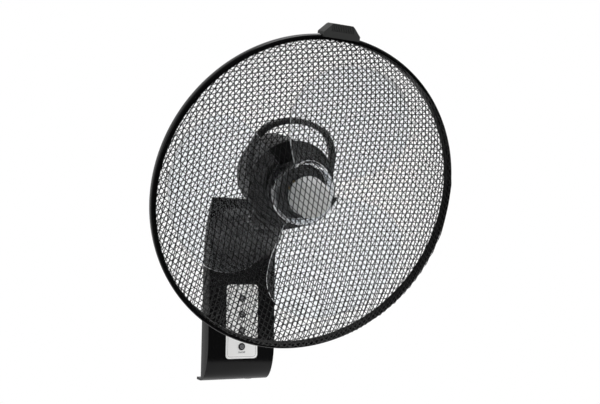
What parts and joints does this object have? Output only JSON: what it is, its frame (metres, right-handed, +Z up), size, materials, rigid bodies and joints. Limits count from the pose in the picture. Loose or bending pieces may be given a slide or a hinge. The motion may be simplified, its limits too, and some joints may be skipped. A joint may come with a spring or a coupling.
{
  "type": "wall mounted fan",
  "caption": "Wall fan: housing with push buttons, arm with a tilt joint, swinging motor head, mesh guard in a ring and clear blades.",
  "frame": {"origin": "centre of the wall plate's back face, on the wall", "axes": "+Y into the wall, -Y out into the room, +Z up, +X to the right as seen from the room"},
  "size_m": [0.44, 0.4279, 0.5017],
  "materials": {
    "black_plastic": "black moulded plastic, satin to glossy",
    "clip_plastic": "dark grey moulded plastic",
    "panel_face": "light silver grey face plate",
    "button_plastic": "dark grey key cap with a pale rim",
    "zinc_steel": "zinc plated steel",
    "guard_mesh": "expanded steel mesh with black paint",
    "clear_plastic": "clear styrene, moulded",
    "pale_plastic": "pale grey moulded plastic",
    "laminations": "stacked electrical steel",
    "copper_wire": "varnished copper wire",
    "cast_alloy": "die cast alloy",
    "sintered_bronze": "oil-filled sintered bronze",
    "board": "green circuit board",
    "capacitor_case": "moulded capacitor case",
    "gland_rubber": "soft black rubber",
    "crank_nylon": "white nylon"
  },
  "bodies": {
    "wall_bracket": {"wall_plate": "zinc_steel", "rear_case": "black_plastic", "front_cover": "black_plastic", "control_panel": "panel_face", "circuit_board": "board", "run_capacitor": "capacitor_case", "cord_gland": "gland_rubber", "case_screw_1": "zinc_steel", "case_screw_2": "zinc_steel", "case_screw_3": "zinc_steel", "case_screw_4": "zinc_steel", "support_arm": "black_plastic", "tilt_bolt": "zinc_steel", "tilt_nut": "zinc_steel", "tilt_washer_left": "zinc_steel", "tilt_washer_right": "zinc_steel"},
    "button_1": {"button_1": "button_plastic"},
    "button_2": {"button_2": "button_plastic"},
    "button_3": {"button_3": "button_plastic"},
    "button_4": {"button_4": "button_plastic"},
    "neck": {"tilt_neck": "black_plastic", "swivel_spindle": "zinc_steel", "swing_lever": "zinc_steel"},
    "head": {"front_guard": "guard_mesh", "rear_guard": "guard_mesh", "guard_ring": "black_plastic", "guard_clip": "clip_plastic", "guard_nut": "black_plastic", "motor_front_cover": "black_plastic", "motor_rear_cover": "black_plastic", "carry_handle": "black_plastic", "swivel_bracket": "cast_alloy", "stator_core": "laminations", "front_winding": "copper_wire", "rear_winding": "copper_wire", "front_end_shield": "cast_alloy", "rear_end_shield": "cast_alloy", "front_bearing": "sintered_bronze", "rear_bearing": "sintered_bronze", "swing_motor": "zinc_steel"},
    "rotor": {"motor_shaft": "zinc_steel", "rotor_core": "laminations", "drive_pin": "zinc_steel", "blades": "clear_plastic", "spinner": "pale_plastic"},
    "swing_crank": {"swing_crank": "crank_nylon"},
    "swing_link": {"swing_link": "zinc_steel"}
  },
  "joints": [
    {"name": "tilt", "type": "hinge", "parent": "wall_bracket", "child": "neck", "pos_m": [0, -0.168, 0.1136], "axis": [1, 0, 0], "range_deg": [-26, 9]},
    {"name": "swing", "type": "hinge", "parent": "neck", "child": "head", "pos_m": [0, -0.18223, 0.14991], "axis": [0, -0.3649, 0.9311], "range_deg": [-40, 40]},
    {"name": "rotor_spin", "type": "hinge", "parent": "head", "child": "rotor", "pos_m": [0, -0.32907, 0.12996], "axis": [0, 0.9311, 0.3649], "continuous": true},
    {"name": "crank_spin", "type": "hinge", "parent": "head", "child": "swing_crank", "pos_m": [0.008, -0.16455, 0.18154], "axis": [0, -0.3649, 0.9311], "range_deg": [-90, 90]},
    {"name": "link_pivot", "type": "hinge", "parent": "swing_crank", "child": "swing_link", "pos_m": [0.01571, -0.16346, 0.17875], "axis": [0, -0.3649, 0.9311], "range_deg": [-90, 90]},
    {"name": "button_1_press", "type": "slide", "parent": "wall_bracket", "child": "button_1", "axis": [0, 1, 0], "range_m": [0, 0.0011]},
    {"name": "button_2_press", "type": "slide", "parent": "wall_bracket", "child": "button_2", "axis": [0, 1, 0], "range_m": [0, 0.0011]},
    {"name": "button_3_press", "type": "slide", "parent": "wall_bracket", "child": "button_3", "axis": [0, 1, 0], "range_m": [0, 0.0011]},
    {"name": "button_4_press", "type": "slide", "parent": "wall_bracket", "child": "button_4", "axis": [0, 1, 0], "range_m": [0, 0.0011]}
  ],
  "couplings": [
    {"joint": "crank_spin", "follows": "swing", "ratio": -2.25},
    {"joint": "link_pivot", "follows": "swing", "ratio": 2.25}
  ]
}
